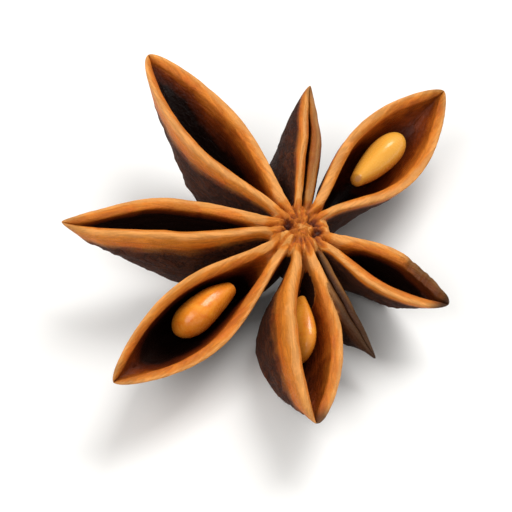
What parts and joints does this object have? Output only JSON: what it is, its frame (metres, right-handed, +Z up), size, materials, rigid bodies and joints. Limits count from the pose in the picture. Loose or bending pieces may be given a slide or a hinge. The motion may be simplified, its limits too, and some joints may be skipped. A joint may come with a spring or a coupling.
{
  "type": "star anise pod",
  "caption": "A dried star anise pod: woody boat-shaped follicles round a short axis, split open along their tops, some holding a glossy seed",
  "frame": {"origin": "on the table, under the middle of the bounding box", "axes": "+Z up with the pod lying on its keels, its split rims upwards; +Y runs along the pod's longest extent"},
  "size_m": [0.0292, 0.0328, 0.0085],
  "materials": {
    "pod_wood": "dried woody husk, light orange-brown along the split rims, dark brown outside and glossy inside",
    "seed_shell": "hard, glossy orange-brown seed coat"
  },
  "bodies": {
    "root": {"pod": "pod_wood", "seed_right_upper": "seed_shell", "seed_left_lower": "seed_shell", "seed_front": "seed_shell"}
  },
  "joints": []
}
